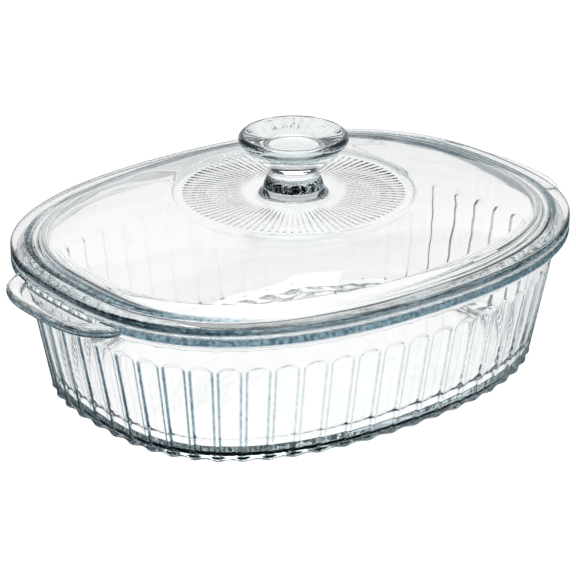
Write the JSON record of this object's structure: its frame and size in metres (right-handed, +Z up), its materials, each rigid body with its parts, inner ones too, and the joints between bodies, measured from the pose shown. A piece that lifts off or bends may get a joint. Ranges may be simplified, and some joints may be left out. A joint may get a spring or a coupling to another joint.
{
  "type": "covered casserole dish",
  "caption": "Oval covered casserole dish in clear pressed glass: fluted dish with lug handles and foot ring, low domed lid with a ribbed disc and round knob.",
  "frame": {"origin": "middle of the base, on the plane the foot ring stands on", "axes": "+X runs along the length, from lug to lug; +Y across the width; +Z up through the knob"},
  "size_m": [0.331, 0.243, 0.1324],
  "materials": {
    "clear_glass": "fire-polished clear pressed glass, faint blue-green in its thick edges"
  },
  "bodies": {
    "dish": {"dish": "clear_glass"},
    "lid": {"lid": "clear_glass"}
  },
  "joints": [
    {"name": "lid_lift", "type": "slide", "parent": "dish", "child": "lid", "axis": [0, 0, 1], "range_m": [0, 0.12]}
  ]
}
